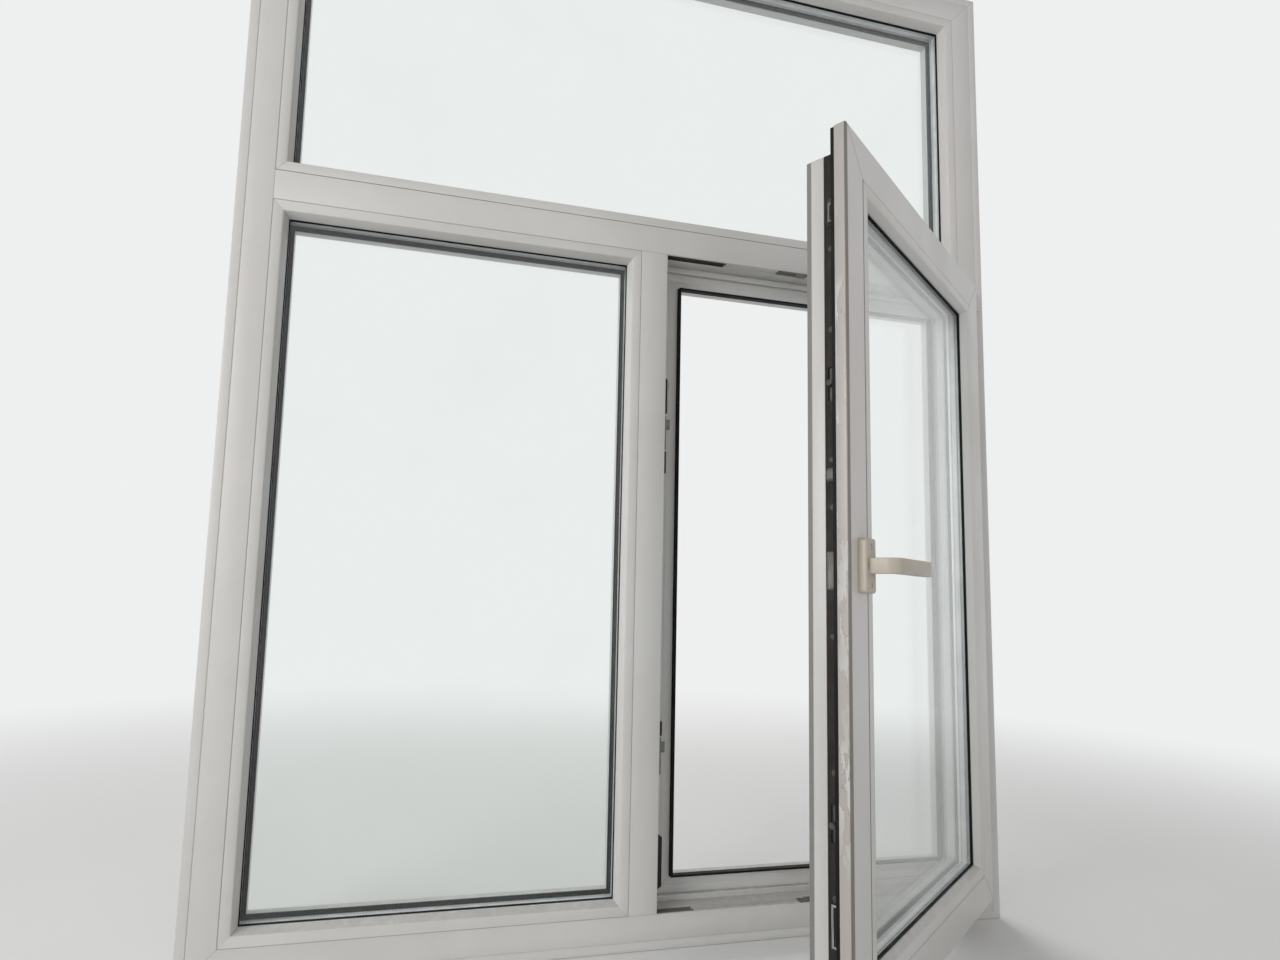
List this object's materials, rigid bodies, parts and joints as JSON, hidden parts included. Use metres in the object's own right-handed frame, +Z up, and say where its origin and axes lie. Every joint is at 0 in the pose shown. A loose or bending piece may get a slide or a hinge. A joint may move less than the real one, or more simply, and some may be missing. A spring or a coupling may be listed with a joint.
{
  "type": "casement window",
  "caption": "White plastic window with a fixed upper light, a fixed side light and an inward opening tilt and turn sash with lever handle, shown part open.",
  "frame": {"origin": "middle of the room side edge of the frame underside", "axes": "+X to the right seen from the room, +Y from the room to the outside, +Z up"},
  "size_m": [1.25, 0.4225, 1.66],
  "materials": {
    "pvc_white": "smooth white extruded profile, slightly aged",
    "bead_white": "smooth white extruded bead",
    "glass_clear": "clear float glass",
    "spacer_metal": "dull silver spacer bar with dark edge seal",
    "rubber_black": "matt black gasket rubber",
    "steel_zinc": "zinc plated steel",
    "plate_dark": "dull, darkened zinc plated steel",
    "gearbox_zinc": "die cast zinc",
    "handle_white": "white lacquered handle",
    "cover_white": "white plastic cap",
    "packer_plastic": "plain plastic glazing packer"
  },
  "bodies": {
    "frame": {"bearing_cover": "cover_white", "frame_packers": "packer_plastic", "groove_strips": "bead_white", "jamb_steel": "steel_zinc", "keeps": "steel_zinc", "left_bead_gasket": "rubber_black", "left_beads_level": "bead_white", "left_beads_upright": "bead_white", "left_inner_pane": "glass_clear", "left_leg_gasket": "rubber_black", "left_outer_pane": "glass_clear", "left_spacer": "spacer_metal", "lower_bearing": "steel_zinc", "mullion": "pvc_white", "mullion_steel": "steel_zinc", "outer_frame": "pvc_white", "rail_steel": "steel_zinc", "stay_bearing": "steel_zinc", "stop_gasket": "rubber_black", "transom": "pvc_white", "transom_steel": "steel_zinc", "upper_bead_gasket": "rubber_black", "upper_beads_level": "bead_white", "upper_beads_upright": "bead_white", "upper_inner_pane": "glass_clear", "upper_leg_gasket": "rubber_black", "upper_outer_pane": "glass_clear", "upper_spacer": "spacer_metal"},
    "handle": {"handle_lever": "handle_white", "spindle": "steel_zinc", "pinion": "steel_zinc"},
    "side_rod": {"side_rod": "steel_zinc"},
    "top_rod": {"top_rod": "steel_zinc"},
    "bottom_rod": {"bottom_rod": "steel_zinc"},
    "stay_arm": {"stay_arm": "steel_zinc"},
    "stay_slider": {"stay_slider": "steel_zinc"},
    "pivot": {"pivot_block": "steel_zinc"},
    "sash": {"sash_frame": "pvc_white", "stile_steel": "steel_zinc", "sash_rail_steel": "steel_zinc", "sash_beads_upright": "bead_white", "sash_beads_level": "bead_white", "sash_inner_pane": "glass_clear", "sash_outer_pane": "glass_clear", "sash_spacer": "spacer_metal", "sash_bead_gasket": "rubber_black", "sash_packers": "packer_plastic", "sash_leg_gasket": "rubber_black", "overlap_gasket": "rubber_black", "lock_plate": "plate_dark", "bottom_plate": "plate_dark", "stay_plate": "plate_dark", "corner_drives": "plate_dark", "plate_screws": "steel_zinc", "gearbox": "gearbox_zinc", "corner_hinge": "steel_zinc", "lift_block": "gearbox_zinc", "rosette": "handle_white", "rosette_screws": "steel_zinc"}
  },
  "joints": [
    {"name": "sash_turn", "type": "hinge", "parent": "frame", "child": "pivot", "pos_m": [0.592, -0.011, 0.05], "axis": [0, 0, 1], "range_deg": [-34, 56]},
    {"name": "sash_tilt", "type": "hinge", "parent": "pivot", "child": "sash", "pos_m": [0.592, -0.011, 0.05], "axis": [0.829, 0.5592, 0], "range_deg": [0, 8]},
    {"name": "handle_turn", "type": "hinge", "parent": "sash", "child": "handle", "pos_m": [0.15219, -0.33178, 0.561], "axis": [0.5592, -0.829, 0], "range_deg": [-90, 90]},
    {"name": "stay_swing", "type": "hinge", "parent": "pivot", "child": "stay_arm", "pos_m": [0.592, -0.011, 1.0627], "axis": [0, 0, 1], "range_deg": [0, 28]},
    {"name": "stay_slide", "type": "slide", "parent": "sash", "child": "stay_slider", "axis": [0.829, 0.5592, 0], "range_m": [0, 0.026]},
    {"name": "side_rod_slide", "type": "slide", "parent": "sash", "child": "side_rod", "axis": [0, 0, 1], "range_m": [-0.0164, 0.0164]},
    {"name": "top_rod_slide", "type": "slide", "parent": "sash", "child": "top_rod", "axis": [0.829, 0.5592, 0], "range_m": [-0.0164, 0.0164]},
    {"name": "bottom_rod_slide", "type": "slide", "parent": "sash", "child": "bottom_rod", "axis": [0.829, 0.5592, 0], "range_m": [-0.0164, 0.0164]}
  ],
  "couplings": [
    {"joint": "stay_swing", "follows": "sash_tilt", "ratio": 3.431},
    {"joint": "stay_slide", "follows": "sash_tilt", "m_per_rad": 0.1826},
    {"joint": "side_rod_slide", "follows": "handle_turn", "m_per_rad": -0.0104},
    {"joint": "top_rod_slide", "follows": "handle_turn", "m_per_rad": -0.0104},
    {"joint": "bottom_rod_slide", "follows": "handle_turn", "m_per_rad": 0.0104}
  ]
}
